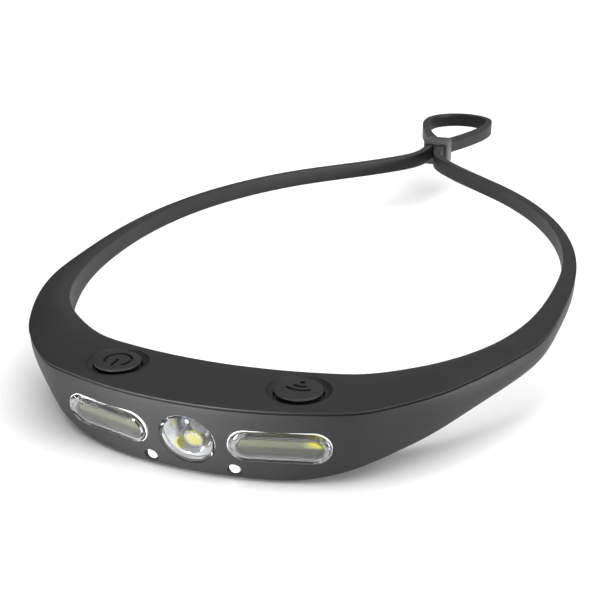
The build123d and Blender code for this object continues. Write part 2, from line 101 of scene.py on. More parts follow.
# The pod's right half, from its middle to where its arm joins the strap. Each row is the plan place of the
# top's outer edge and of its inner edge, the outer and inner height, how far the foot is set back, how far
# the top rises behind its outer edge, how deep the groove under the edge is and how far the wall swells.
POD_RIM = [
    (0.0, -23.0, 0.0, 0.0, 21.5, 21.5, 5.4, 0.35, 0.5, 0.2),
    (12.0, -22.24, 10.5, 0.5, 21.5, 21.5, 5.4, 0.35, 0.5, 0.2),
    (23.6, -20.02, 20.0, 1.7, 21.5, 21.5, 5.4, 0.35, 0.5, 0.2),
    (32.2, -17.38, 26.6, 3.0, 20.4, 21.2, 5.3, 0.4, 0.5, 0.2),
    (40.2, -14.1, 32.8, 4.6, 17.9, 20.2, 4.8, 0.5, 0.6, 0.3),
    (48.0, -7.3, 39.4, 7.9, 15.2, 18.4, 3.9, 0.8, 0.75, 0.5),
    (55.3, 1.3, 46.0, 13.0, 12.5, 16.0, 2.9, 1.1, 0.9, 0.75),
    (61.0, 11.0, 51.7, 18.5, 10.2, 13.5, 2.1, 1.3, 0.95, 0.95),
    (65.8, 21.0, 57.5, 26.0, 8.6, 11.0, 1.5, 1.3, 0.95, 1.0),
    (69.6, 30.0, 62.0, 33.9, 7.6, 9.2, 1.1, 1.1, 0.9, 0.85),
    (72.6, 39.3, 65.3, 42.0, 6.9, 7.8, 0.9, 0.8, 0.8, 0.6),
]
# The strap, on to the slider: plan place of its outer edge, its thickness, and the same six shape values.
STRAP_RIM = [
    (75.2, 60.0, 5.6, 6.1, 6.2, 0.6, 0.4, 0.6, 0.3),
    (75.9, 79.0, 4.6, 5.8, 5.8, 0.4, 0.25, 0.4, 0.15),
    (74.8, 101.0, 3.6, 5.8, 5.8, 0.2, 0.12, 0.25, 0.05),
    (70.2, 125.0, 3.0, 5.8, 5.8, 0.1, 0.12, 0.18, 0.0),
    (61.0, 149.5, 2.7, 5.8, 5.8, 0.0, 0.12, 0.18, 0.0),
    (42.2, 179.0, 2.6, 5.8, 5.8, 0.0, 0.12, 0.18, 0.0),
    (22.8, 199.8, 2.7, 5.8, 5.8, 0.0, 0.12, 0.18, 0.0),
    (11.8, 212.7, 2.9, 5.8, 5.8, 0.0, 0.12, 0.18, 0.0),
    (5.9, 222.5, 3.0, 5.8, 5.8, 0.0, 0.12, 0.18, 0.0),
    (4.2, 231.0, 3.0, 5.8, 5.8, 0.0, 0.12, 0.18, 0.0),
    (4.1, 236.0, 3.0, 5.8, 5.8, 0.0, 0.12, 0.18, 0.0),
    (4.1, 242.3, 3.0, 5.8, 5.8, 0.0, 0.12, 0.18, 0.0),
]
# the tail loop's outer edge, right half, from the slider to its tip
LOOP = [
    (4.1, 242.7), (4.1, 247.6), (7.3, 256.5), (11.2, 267.0),
    (14.1, 277.5), (15.2, 288.0), (12.7, 298.6), (0.0, 306.0),
]


# ---- shape helpers --------------------------------------------------------------------------------
CORNERS = ((-1, -1), (1, -1), (1, 1), (-1, 1))


def natural_spline(rows, spacing):
    """Points at even steps along a natural cubic through the rows; columns 0 and 1 give the plan place."""
    rows = np.array(rows, float)
    chord = np.hypot(*np.diff(rows[:, :2], axis=0).T)
    knots = np.concatenate([[0.0], np.cumsum(chord)])
    count = len(knots)
    system, right = np.eye(count), np.zeros_like(rows)
    for i in range(1, count - 1):
        before, after = chord[i - 1], chord[i]
        system[i, i - 1 : i + 2] = before, 2 * (before + after), after
        right[i] = 6 * ((rows[i + 1] - rows[i]) / after - (rows[i] - rows[i - 1]) / before)
    bend = np.linalg.solve(system, right)
    steps = np.linspace(0, knots[-1], int(knots[-1] / spacing) + 1)
    span = np.clip(np.searchsorted(knots, steps) - 1, 0, count - 2)
    length = chord[span][:, None]
    u = ((steps - knots[span]) / chord[span])[:, None]
    v = 1 - u
    line = v * rows[span] + u * rows[span + 1]
    return line + length**2 / 6 * ((v**3 - v) * bend[span] + (u**3 - u) * bend[span + 1])


def add_object(name, data):
    """Puts a new object with this mesh, light or camera data into the scene."""
    obj = bpy.data.objects.new(name, data)
    bpy.context.scene.collection.objects.link(obj)
    return obj


def mesh_object(name, vertices, faces):
    """A mesh from millimetre vertices."""
    mesh = bpy.data.meshes.new(name)
    mesh.from_pydata([tuple(c * MM for c in v) for v in vertices], [], faces)
    mesh.validate()
    obj = add_object(name, mesh)
    shape = bmesh.new()
    shape.from_mesh(mesh)
    bmesh.ops.recalc_face_normals(shape, faces=shape.faces)
    shape.to_mesh(mesh)
    shape.free()
    return obj


def smooth(obj, angle=35):
    """Smooth shading, with edges sharper than the angle kept crisp."""
    obj.data.polygons.foreach_set("use_smooth", [True] * len(obj.data.polygons))
    obj.data.set_sharp_from_angle(angle=radians(angle))
    return obj


def apply_modifiers(obj):
    """Turns the modifiers' result into the mesh."""
    graph = bpy.context.evaluated_depsgraph_get()
    result = bpy.data.meshes.new_from_object(obj.evaluated_get(graph))
    obj.modifiers.clear()
    obj.data = result


def carve(obj, cutters):
    """Takes the cutters' volume out of the object and deletes them."""
    for cutter in cutters:
        step = obj.modifiers.new("cut", "BOOLEAN")
        step.operation = "DIFFERENCE"
        step.solver = "EXACT"
        step.object = cutter
    apply_modifiers(obj)
    for cutter in cutters:
        bpy.data.objects.remove(cutter)


def ring_faces(number, around, closed):
    """Four-sided faces between neighbouring rings, and from the last to the first if the run is closed."""
    faces = []
    for i in range(number if closed else number - 1):
        a, b = i * around, (i + 1) % number * around
        faces += [(a + j, a + (j + 1) % around, b + (j + 1) % around, b + j) for j in range(around)]
    return faces


def rings_to_mesh(name, rings, closed=False):
    """A skin over equal rings of points; the ends are capped unless the run of rings is closed."""
    rings = np.array(rings)
    number, around = rings.shape[:2]
    faces = ring_faces(number, around, closed)
    if not closed:
        faces.append(tuple(range(around)))
        faces.append(tuple(range((number - 1) * around, number * around)))
    return mesh_object(name, rings.reshape(-1, 3), faces)


def lathe(name, outline, place, segments):
    """Turns (radius, depth) points about a place's axis; depth counts inward. Radius 0 closes an end."""
    points = []
    for k in range(segments):
        angle = 2 * pi * k / segments
        points += [(r * cos(angle), r * sin(angle), -d) for r, d in outline]
    obj = mesh_object(name, points, ring_faces(segments, len(outline), closed=True))
    shape = bmesh.new()
    shape.from_mesh(obj.data)
    bmesh.ops.remove_doubles(shape, verts=shape.verts, dist=1e-7)
    bmesh.ops.dissolve_degenerate(shape, edges=shape.edges, dist=1e-7)
    bmesh.ops.recalc_face_normals(shape, faces=shape.faces)
    shape.to_mesh(obj.data)
    shape.free()
    obj.data.transform(place)
    return obj


def round_rectangle(half_x, half_y, corner, segments=6):
    """Outline of a rectangle with round corners, centred on the origin."""
    points = []
    for sx, sy, start in ((1, 1, 0), (-1, 1, 90), (-1, -1, 180), (1, -1, 270)):
        x, y = sx * (half_x - corner), sy * (half_y - corner)
        for t in np.radians(np.linspace(start, start + 90, segments)):
            points.append((x + corner * cos(t), y + corner * sin(t)))
    return points


def slot_outline(length, height, segments=20):
    """Points of a slot with round ends, centred on the origin."""
    radius, half = height / 2, (length - height) / 2
    right = [(half + radius * cos(t), radius * sin(t)) for t in np.linspace(-pi / 2, pi / 2, segments)]
    return right + [(-x, -y) for x, y in right]


def prism(name, outline, place, near, far):
    """A straight block over an outline, from depth near to depth far; depth counts inward."""
    obj = rings_to_mesh(name, [[(x, y, -depth) for x, y in outline] for depth in (near, far)])
    obj.data.transform(place)
    return obj


def slot_layers(name, length, height, layers, place, closed=False):
    """A skin through slot outlines; a layer is (cut from length and height, depth, drop of its middle)."""
    rings = []
    for shrink, depth, drop in layers:
        outline = slot_outline(length - shrink, height - shrink)
        rings.append([(x, y - drop, -depth) for x, y in outline])
    obj = rings_to_mesh(name, rings, closed)
    obj.data.transform(place)
    return obj


def front_radius(z):
    """Plan radius of the pod's front face at height z."""
    return FRONT_RADIUS - (Z_TOP - z) * tan(FRONT_TILT)


def front_place(arc, z):
    """Matrix whose origin is on the front face: x runs along it, z points outward. In metres."""
    angle = arc / FRONT_RADIUS
    radius = front_radius(z)
    along = Vector((cos(angle), sin(angle), 0))
    outward = Vector((sin(angle) * cos(FRONT_TILT), -cos(angle) * cos(FRONT_TILT), -sin(FRONT_TILT)))
    up = outward.cross(along)
    matrix = Matrix((along, up, outward)).transposed().to_4x4()
    matrix.translation = Vector((radius * sin(angle), ARC_CENTRE_Y - radius * cos(angle), z)) * MM
    return matrix


def button_place(side, z):
    """Matrix whose origin is over a button's middle at height z. In metres."""
    return Matrix.Translation(Vector((side * BUTTON_X, BUTTON_Y, z)) * MM)


# ---- materials ------------------------------------------------------------------------------------
class Nodes:
    """A material's node tree with short ways to add and join nodes."""

    def __init__(self, name):
        self.material = bpy.data.materials.new(name)
        self.material.use_nodes = True
        self.tree = self.material.node_tree
        self.shader = self.tree.nodes["Principled BSDF"]

    def add(self, kind, **settings):
        node = self.tree.nodes.new(kind)
        for key, value in settings.items():
            setattr(node, key, value)
        return node

    def join(self, out, into):
        self.tree.links.new(out, into)

    def place(self):
        return self.add("ShaderNodeTexCoord").outputs["Object"]

    def noise(self, scale, detail=3.0, roughness=0.5, stretch=None):
        node = self.add("ShaderNodeTexNoise")
        node.inputs["Scale"].default_value = scale
        node.inputs["Detail"].default_value = detail
        node.inputs["Roughness"].default_value = roughness
        source = self.place()
        if stretch:
            mapping = self.add("ShaderNodeMapping")
            mapping.inputs["Scale"].default_value = stretch
            self.join(source, mapping.inputs["Vector"])
            source = mapping.outputs["Vector"]
        self.join(source, node.inputs["Vector"])
        return node.outputs["Fac"]

    def ramp(self, source, stops):
        node = self.add("ShaderNodeValToRGB")
        elements = node.color_ramp.elements
        while len(elements) < len(stops):
            elements.new(0.5)
        for element, (position, colour) in zip(elements, stops):
            element.position = position
            element.color = (*colour, 1)
        self.join(source, node.inputs["Fac"])
        return node.outputs["Color"]

    def spread(self, source, low, high):
        node = self.add("ShaderNodeMapRange")
        node.inputs["To Min"].default_value = low
        node.inputs["To Max"].default_value = high
        self.join(source, node.inputs["Value"])
        return node.outputs["Result"]

    def step(self, source, low, high):
        """Rises smoothly from 0 at low to 1 at high, both in millimetres."""
        node = self.add("ShaderNodeMapRange", interpolation_type="SMOOTHSTEP")
        node.inputs["From Min"].default_value = low * MM
        node.inputs["From Max"].default_value = high * MM
        self.join(source, node.inputs["Value"])
        return node.outputs["Result"]

    def blend(self, factor, first, second):
        node = self.add("ShaderNodeMix", data_type="RGBA")
        self.join(factor, node.inputs["Factor"])
        self.join(first, node.inputs["A"])
        self.join(second, node.inputs["B"])
        return node.outputs["Result"]

    def bump(self, source, strength, distance, chain=None):
        node = self.add("ShaderNodeBump")
        node.inputs["Strength"].default_value = strength
        node.inputs["Distance"].default_value = distance
        self.join(source, node.inputs["Height"])
        if chain:
            self.join(chain, node.inputs["Normal"])
        return node.outputs["Normal"]

    def set(self, **values):
        for key, value in values.items():
            self.shader.inputs[key.replace("_", " ")].default_value = value

    def colour(self, source):
        self.join(source, self.shader.inputs["Base Color"])

    def rough(self, source):
        self.join(source, self.shader.inputs["Roughness"])

    def normal(self, source):
        self.join(source, self.shader.inputs["Normal"])


def grey(value, tint=(1.0, 1.0, 1.03)):
    """A near-neutral colour."""
    return tuple(value * t for t in tint)


def silicone_material(name, tone, roughness):
    """Matte moulded silicone: a very fine bead-blasted grain, faint mottling and dust-dull patches."""
    m = Nodes(name)
    mottle = m.noise(55, 4, 0.55)
    m.colour(m.ramp(mottle, [(0.3, grey(tone * 0.85)), (0.7, grey(tone * 1.15))]))
    m.rough(m.spread(m.noise(140, 3, 0.6), roughness - 0.05, roughness + 0.06))
    grain = m.bump(m.noise(5200, 2, 0.6), 0.12, 0.00003)
    m.normal(m.bump(m.noise(260, 2, 0.5), 0.05, 0.00008, grain))
    m.set(Specular_IOR_Level=0.22)
    return m.material


def moulded_material(name, tone, roughness, tint=(1, 1, 1)):
    """Hard moulded plastic with a spark-eroded grain."""
    m = Nodes(name)
    m.colour(m.ramp(m.noise(90, 3), [(0.3, grey(tone * 0.9, tint)), (0.7, grey(tone * 1.08, tint))]))
    m.rough(m.spread(m.noise(300, 3), roughness - 0.06, roughness + 0.06))
    m.normal(m.bump(m.noise(2600, 3, 0.6), 0.25, 0.00004))
    return m.material


def metal_material(name, colour, roughness, brushed=False):
    """Bare or plated metal with faint scratches or brushing."""
    m = Nodes(name)
    stretch = (1, 14, 14) if brushed else None
    wear = m.noise(420, 4, 0.6, stretch)
    m.colour(m.ramp(wear, [(0.3, tuple(c * 0.88 for c in colour)), (0.7, colour)]))
    m.rough(m.spread(wear, roughness * 0.7, roughness * 1.4))
    m.normal(m.bump(wear, 0.08, 0.00003))
    m.set(Metallic=1.0)
    return m.material


def clear_material(name):
    """Clear polycarbonate with moulding ripple and faint handling haze in its gloss."""
    m = Nodes(name)
    m.rough(m.spread(m.noise(120, 3), 0.0, 0.035))
    m.normal(m.bump(m.noise(240, 2, 0.5), 0.03, 0.00008))
    m.set(Base_Color=(0.98, 0.985, 0.99, 1), Transmission_Weight=1.0, IOR=1.5)
    return m.material


def gel_material(name, dark, light):
    """Phosphor gel: fine particles in a glossy resin."""
    m = Nodes(name)
    m.colour(m.ramp(m.noise(900, 5, 0.65), [(0.3, dark), (0.7, light)]))
    m.rough(m.spread(m.noise(200, 2), 0.25, 0.4))
    m.normal(m.bump(m.noise(1400, 3), 0.2, 0.00003))
    m.set(Coat_Weight=0.4, Coat_Roughness=0.1)
    return m.material


def strip_material():
    """Olive phosphor, with painted shade that darkens the strips' bottom half and a painted highlight in
    bright yellow on the upper part of the right strip's outer end.
    """
    m = Nodes("strip_phosphor")
    grain = m.noise(1100, 5, 0.65)
    upper = m.ramp(grain, [(0.3, (0.13, 0.14, 0.055)), (0.7, (0.18, 0.19, 0.085))])
    # painted shade: the strips' bottom half is drawn in a far darker olive than the half above it
    painted_shade_olive = m.ramp(grain, [(0.3, (0.012, 0.014, 0.0005)), (0.7, (0.022, 0.025, 0.001))])
    # painted highlight: bright yellow for the lit patch on the right strip's outer end
    bright = m.ramp(grain, [(0.3, (0.62, 0.58, 0.01)), (0.7, (0.78, 0.72, 0.02))])
    split = m.add("ShaderNodeSeparateXYZ")
    m.join(m.place(), split.inputs[0])
    olive = m.blend(m.step(split.outputs["Z"], WINDOW_Z - 0.6, WINDOW_Z + 0.4), painted_shade_olive, upper)
    # mask of the painted highlight: the right strip's outer end, in its upper half
    patch = m.add("ShaderNodeMath", operation="MULTIPLY")
    m.join(m.step(split.outputs["X"], 26.5, 30.0), patch.inputs[0])
    m.join(m.step(split.outputs["Z"], WINDOW_Z - 0.2, WINDOW_Z + 0.5), patch.inputs[1])
    m.colour(m.blend(patch.outputs[0], olive, bright))
    m.rough(m.spread(m.noise(200, 2), 0.3, 0.45))
    m.normal(m.bump(m.noise(1400, 3), 0.2, 0.00003))
    m.set(Coat_Weight=0.25, Coat_Roughness=0.15)
    return m.material


SILICONE = silicone_material("silicone", 0.0135, 0.52)
CAP_SILICONE = silicone_material("button_silicone", 0.0145, 0.5)
SLIDER_RUBBER = silicone_material("slider_rubber", 0.055, 0.42)
CLEAR = clear_material("clear_polycarbonate")
PHOSPHOR = strip_material()
PHOSPHOR_BRIGHT = gel_material("phosphor_bright", (0.80, 0.74, 0.02), (0.92, 0.86, 0.05))
WHITE_WINDOW = moulded_material("diffuse_window", 0.6, 0.3)
FRAME_WHITE = moulded_material("reflector_white", 0.72, 0.25)
SHELL = moulded_material("shell_plastic", 0.02, 0.5)
SEAL = silicone_material("seal_rubber", 0.06, 0.6)
STEEL = metal_material("steel", (0.62, 0.62, 0.63), 0.3, True)
BOARD_METAL = metal_material("board_aluminium", (0.78, 0.79, 0.80), 0.35, True)
CIRCUIT = moulded_material("solder_mask", 0.10, 0.3, (0.12, 1.0, 0.35))
BLACK_PART = moulded_material("component_black", 0.03, 0.4)
IVORY = moulded_material("switch_plunger", 0.7, 0.4, (1.0, 0.97, 0.88))
FOIL = metal_material("battery_foil", (0.74, 0.75, 0.77), 0.28)
RED_WIRE = moulded_material("lead_red", 0.5, 0.35, (1.0, 0.06, 0.05))
INDICATOR = moulded_material("indicator", 0.6, 0.25, (1.0, 0.15, 0.1))


def dress(obj, material):
    """Gives an object one material."""
    obj.data.materials.clear()
    obj.data.materials.append(material)


def settle(obj, material, body, slot_name, *replaced):
    """Material, body and the CAD nodes that the piece stands for; the record slot argument is not used."""
    dress(obj, material)
    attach(obj, body)
    if replaced:
        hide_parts(*replaced)


# ---- the band -------------------------------------------------------------------------------------
TOP_POINTS = 16
WALL_POINTS = 9


def rounded(corners):
    """Rounds a closed outline. Each corner is (p, z, radius, points); radius 0 keeps the point."""
    outline = []
    count = len(corners)
    for i, (p, z, radius, points) in enumerate(corners):
        here = np.array((p, z))
        if radius == 0:
            outline.append(here)
            continue
        before = np.array(corners[i - 1][:2]) - here
        after = np.array(corners[(i + 1) % count][:2]) - here
        start = here + before / np.linalg.norm(before) * min(radius, 0.48 * np.linalg.norm(before))
        end = here + after / np.linalg.norm(after) * min(radius, 0.48 * np.linalg.norm(after))
        for t in np.linspace(0, 1, points):
            outline.append((1 - t) ** 2 * start + 2 * t * (1 - t) * here + t**2 * end)
    return outline


def section(width, outer, inner, foot, rise, groove, swell):
    """The band's cross-section: distance in from the top outer edge, and height from the top edge.

    It runs from the groove over the top, down the inner face, along the foot and back up the outer wall.
    """
    lip = np.interp(groove, (0.5, 0.9), (0.5, 0.2))
    groove_low = lip + 0.35 + 0.4 * groove
    groove_deep = 0.7 * lip + 0.3 * groove_low

    def wall(depth):
        return foot * depth / outer

    corners = [
        (wall(groove_low), -groove_low, 0.15, 3),
        (wall(groove_low) + 1.5 * groove, -groove_deep, 0.1, 3),
        (wall(lip) - 0.05, -lip, 0.15, 3),
        (0.0, 0.0, 0.35, 5),
    ]
    for t in np.linspace(0, 1, TOP_POINTS + 2)[1:-1]:
        corners.append((t * width, rise * (1 - (1 - t) ** 2.6 - t**3), 0, 1))
    corners.append((width, 0.0, min(0.8, 0.2 * width), 5))
    for t in (0.3, 0.5, 0.7):
        corners.append((width, -inner * t, 0, 1))
    corners.append((width, -inner, min(2.0, 0.3 * width), 5))
    for t in (0.3, 0.5, 0.7):
        corners.append((width + (foot - width) * t, -inner + (inner - outer) * t, 0, 1))
    corners.append((foot, -outer, min(3.2, 0.32 * width), 7))
    wall_top = groove_low + 0.3
    for t in np.linspace(1, 0, WALL_POINTS + 2)[1:-1]:
        depth = wall_top + (outer - wall_top) * t
        corners.append((wall(depth) - swell * 4 * t * (1 - t), -depth, 0, 1))
    return rounded(corners)


def with_inner_edge(rows):
    """Turns each row's thickness into the plan place of the inner edge, square to the run of the rows."""
    places = np.array([row[:2] for row in rows])
    along = np.gradient(places, axis=0)
    along /= np.linalg.norm(along, axis=1)[:, None]
    inner = places + np.array([(-ty, tx) for tx, ty in along]) * np.array([[row[2]] for row in rows])
    return [(*row[:2], *edge, *row[3:]) for row, edge in zip(rows, inner)]


def mirrored(rows):
    """The same rows on the other side, in reverse order."""
    return [(-x, y, -inner_x, *rest) for x, y, inner_x, *rest in reversed(rows)]


def band_rings(rows, spacing):
    """The cross-section set from the outer towards the inner edge at each step along the rows."""
    rings = []
    for x, y, inner_x, inner_y, *shape in natural_spline(rows, spacing):
        outer = np.array((x, y))
        across = np.array((inner_x, inner_y)) - outer
        width = np.linalg.norm(across)
        rings.append([(*(outer + across * p / width), Z_TOP + z) for p, z in section(width, *shape)])
    return rings


def leaning(rows):
    """Leans the soft left arm inward and spreads the right arm's outer side, as the band lies at rest."""
    moved = []
    for x, y, inner_x, *rest in rows:
        left = LEFT_LEAN * np.interp(y, (18, 45, 110, 180), (0, 1, 1, 0)) if x < 0 else 0.0
        right = RIGHT_SPREAD * np.interp(y, (5, 40, 110, 180), (0, 1, 1, 0)) if x > 0 else 0.0
        moved.append((x + left + right, y, inner_x + left, *rest))
    return moved


def make_band():
    """Pod and straps in one smooth moulding, from the left strand in the slider to the right one."""
    right = POD_RIM + with_inner_edge(STRAP_RIM)
    return rings_to_mesh("silicone_band", band_rings(leaning(mirrored(right[1:]) + right), 1.0))


def band_cutters():
    """Openings for the lenses and the sensors, and the moats round the buttons."""
    flood = slot_outline(WINDOW_LENGTH, WINDOW_HEIGHT)
    flare = SENSOR_RADIUS + 0.35
    sensor = [(0, -2), (flare, -2), (flare, 0.05), (SENSOR_RADIUS, 0.5), (SENSOR_RADIUS, 5), (0, 5)]
    rim, well = MOAT_RADIUS, CAP_RADIUS + CAP_GAP
    moat = [
        (0, -2), (rim + 0.55, -2), (rim + 0.55, -0.4), (rim + 0.18, 0.0), (rim, 0.15), (rim - 0.3, 0.4),
        (rim - 0.7, 0.62), (well + 0.25, 0.75), (well, 0.85), (well, 3.0), (0, 3.0),
    ]
    spot = [(0, -3), (SPOT_RADIUS, -3), (SPOT_RADIUS, 9), (0, 9)]
    cutters = []
    for side in (-1, 1):
        cutters.append(prism("flood_cut", flood, front_place(side * WINDOW_ARC, WINDOW_Z), -3, 7))
        cutters.append(lathe("sensor_cut", sensor, front_place(side * SENSOR_ARC, SENSOR_Z), 40))
        cutters.append(lathe("moat_cut", moat, button_place(side, Z_TOP), 72))
    cutters.append(lathe("spot_cut", spot, front_place(0, SPOT_Z), 72))
    return cutters


def keel(x):
    """Height of the underside at that distance from the middle, near the port."""
    return jacket_low.z + KEEL_RISE * max(0.0, abs(x) - KEEL_START) ** 2


def back_distance(angle, inset):
    """Distance from the front arc's centre to the inner face, moved inward by inset."""
    gap = FOREHEAD_RADIUS - ARC_CENTRE_Y
    radius = FOREHEAD_RADIUS + inset
    return -gap * cos(angle) + sqrt((gap * cos(angle)) ** 2 - gap**2 + radius**2)


def capsule_cutter():
    """The space inside the silicone where the hard capsule sits."""
    top = Z_TOP - SKIN_TOP + CAPSULE_GAP
    rings = []
    for angle in np.linspace(-CAPSULE_ARC, CAPSULE_ARC, 41) / FRONT_RADIUS:
        low = np.interp(abs(angle) * FRONT_RADIUS, *CAPSULE_ROOM)
        back = back_distance(angle, SKIN_BACK - CAPSULE_GAP)
        ring = []
        for z, at_front in ((top, True), (low, True), (low, False), (top, False)):
            front = front_radius(z) - (SKIN - CAPSULE_GAP) / cos(FRONT_TILT)
            radius = front if at_front else back
            ring.append((radius * sin(angle), ARC_CENTRE_Y - radius * cos(angle), z))
        rings.append(ring)
    return rings_to_mesh("capsule_cut", rings)


def upright(name, outline, middle, low, high):
    """A straight block over an outline round a middle, from height low to height high."""
    place = Matrix.Translation(Vector((middle.x, middle.y, 0)) * MM)
    return prism(name, outline, place, -low, -high)


def pocket_cutter():
    """The pocket for the port cover, with rounded corners."""
    half = (flap_high - flap_low) / 2
    outline = round_rectangle(half.x + POCKET_GROW, half.y + POCKET_GROW, POCKET_CORNER)
    return upright("pocket_cut", outline, (flap_low + flap_high) / 2, jacket_low.z - 3, POCKET_TOP)


def port_cutter():
    """The opening between the pocket and the capsule, round the socket's mouth."""
    size = socket_high - socket_low
    outline = slot_outline(size.x + PORT_GROW, size.y + PORT_GROW)
    middle = (socket_low + socket_high) / 2
    return upright("port_cut", outline, middle, POCKET_TOP - 1, POCKET_TOP + 2.6)


band = make_band()
carve(band, [*band_cutters(), capsule_cutter(), pocket_cutter(), port_cutter()])
smooth(band, 40)
dress(band, SILICONE)
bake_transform(band)
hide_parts("silicone_jacket", "strap_left", "strap_right")


def make_tail_loop():
    """The loop behind the slider."""
    right = [(x, y, STRAND_THICK, STRAP_HEIGHT, STRAP_HEIGHT, 0.0, 0.12, 0.18, 0.0) for x, y in LOOP]
    left = []
    for x, y, *shape in reversed(right[:-1]):
        left.append((-x * np.interp(y, (250, 262), (1, LOOP_BULGE)), y, *shape))
    return rings_to_mesh("tail_loop_band", band_rings(with_inner_edge(right + left), 0.8))


tail = make_tail_loop()
smooth(tail, 40)
dress(tail, SILICONE)
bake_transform(tail)
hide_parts("tail_loop")


# ---- lights' windows ------------------------------------------------------------------------------
def make_cob_window(side, name):
    """Clear block with a bevelled face and hollow back, the white frame round it, and the gel strip."""
    place = front_place(side * WINDOW_ARC, WINDOW_Z)
    length, height = WINDOW_LENGTH - 0.3, WINDOW_HEIGHT - 0.3
    low = STRIP_DROP
    layers = [
        (3.7, 0.9, low), (3.3, 1.05, low), (3.1, 1.3, low), (3.1, 3.35, low), (0, 3.35, 0),
        (0, -0.2, 0), (0.12, -0.42, 0), (1.0, -0.82, 0), (1.3, -0.9, 0), (1.6, -0.9, 0),
    ]
    lens = smooth(slot_layers(f"flood_lens_{name}", length, height, layers, place), 25)
    settle(lens, CLEAR, "band", "clear_lens", f"cob_lens_{name}")
    layers = [
        (-0.26, 0.0, 0), (-0.26, 4.9, 0), (3.7, 4.9, low), (3.7, 4.2, low),
        (2.9, 3.55, low), (2.6, 3.42, low), (-0.06, 3.42, 0), (-0.06, 0.0, 0),
    ]
    rim = smooth(slot_layers(f"flood_frame_{name}", length, height, layers, place, closed=True), 25)
    settle(rim, FRAME_WHITE, "band", "bright_reflector", f"reflector_frame_{name}")
    layers = [
        (3.9, 4.9, low), (3.9, 1.9, low), (4.1, 1.6, low),
        (4.7, 1.35, low), (5.8, 1.22, low), (7.2, 1.18, low),
    ]
    strip = smooth(slot_layers(f"flood_strip_{name}", length, height, layers, place), 50)
    settle(strip, PHOSPHOR, "band", "phosphor", f"phosphor_strip_{name}")


for window_side, window_name in ((-1, "left"), (1, "right")):
    make_cob_window(window_side, window_name)


def cup_material():
    """Bright plating, with a painted reflection of the yellow phosphor in a patch low on one side."""
    m = Nodes("cup_plating")
    wear = m.noise(420, 4, 0.6)
    # painted reflection: the LED's yellow phosphor, painted into the plating's colour in a small patch low
    # on one side of the cup
    reflection_arc, reflection_z, reflection_depth = -3.3, SPOT_Z - 3.2, 2.4
    near = m.add("ShaderNodeVectorMath", operation="DISTANCE")
    near.inputs[1].default_value = front_place(reflection_arc, reflection_z) @ Vector((0, 0, -reflection_depth * MM))
    m.join(m.place(), near.inputs[0])
    # within this distance of the patch's middle the plating is painted yellow for the painted reflection
    reflection_mix = m.add("ShaderNodeMix", data_type="RGBA")
    m.join(m.step(near.outputs["Value"], 1.0, 1.9), reflection_mix.inputs["Factor"])
    reflection_mix.inputs["A"].default_value = (0.78, 0.72, 0.03, 1)
    m.join(m.ramp(wear, [(0.3, (0.55, 0.56, 0.58)), (0.7, (0.72, 0.73, 0.75))]), reflection_mix.inputs["B"])
    m.colour(reflection_mix.outputs["Result"])
    m.rough(m.spread(wear, 0.12, 0.24))
    m.normal(m.bump(wear, 0.06, 0.00003))
    m.set(Metallic=1.0)
    return m.material


def make_spot():
    """Cover lens, bright cup, collimator and LED of the spot, and the pale seat round the LED."""
    place = front_place(0, SPOT_Z)
    rim = SPOT_RADIUS - 0.2
    outside = [
        (0, -1.9), (0.8, -1.88), (1.6, -1.82), (2.4, -1.73), (3.2, -1.6), (4.0, -1.42),
        (4.8, -1.2), (5.5, -0.95), (6.1, -0.68), (6.45, -0.5), (6.8, -0.32), (rim, 0.05),
    ]
    inside = [
        (rim, 3.35), (6.3, 3.35), (6.0, 0.9), (5.2, 0.45), (4.4, 0.1),
        (3.4, -0.2), (2.3, -0.4), (1.2, -0.52), (0, -0.55),
    ]
    cover = smooth(lathe("spot_cover", outside + inside, place, 96), 25)
    settle(cover, CLEAR, "band", "clear_lens", "spot_lens")
    cup = [
        (5.85, 1.35), (6.0, 1.3), (6.15, 3.4), (6.65, 3.45), (6.65, 4.4), (5.6, 4.5),
        (4.2, 6.3), (3.25, 6.3), (3.4, 5.0), (3.75, 3.9), (4.3, 3.0), (5.0, 2.15),
    ]
    bowl = smooth(lathe("spot_cup", cup, place, 96), 30)
    settle(bowl, cup_material(), "band", "bright_reflector", "spot_reflector")
    core = front_place(BEAD_ARC, SPOT_Z)
    bead = [
        (0, -0.15), (0.8, -0.09), (1.5, 0.06), (2.1, 0.32), (2.55, 0.65), (2.85, 1.05), (3.0, 1.6),
        (3.0, 5.6), (2.6, 6.25), (2.1, 6.3), (2.1, 1.35), (1.9, 1.1), (0, 1.0),
    ]
    lens = smooth(lathe("spot_bead", bead, core, 64), 30)
    settle(lens, CLEAR, "band", "clear_lens", "spot_collimator")
    die = [(0, 1.15), (0.8, 1.18), (1.35, 1.28), (1.68, 1.45), (1.8, 1.8), (1.8, 6.3), (0, 6.3)]
    led = smooth(lathe("spot_phosphor", die, core, 48), 30)
    settle(led, PHOSPHOR_BRIGHT, "band", "led_yellow", "spot_led")
    collar = [(1.84, 1.75), (1.84, 6.3), (2.05, 6.3), (2.05, 1.6), (1.95, 1.55)]
    seat = smooth(lathe("spot_seat", collar, core, 48), 30)
    settle(seat, WHITE_WINDOW, "band", "diffuse_window")


make_spot()


def make_sensors():
    """Pale domes over the infrared emitter and receiver."""
    radius = SENSOR_RADIUS - SENSOR_GAP
    dome = [(0, 0.0), (0.5, 0.04), (0.9, 0.17), (1.2, 0.38), (radius, 0.75), (radius, 3.0), (0, 3.0)]
    for side, window in ((-1, "emitter"), (1, "receiver")):
        place = front_place(side * SENSOR_ARC, SENSOR_Z)
        piece = smooth(lathe(f"sensor_dome_{window}", dome, place, 40), 40)
        settle(piece, WHITE_WINDOW, "band", "diffuse_window", f"sensor_window_{window}")


make_sensors()


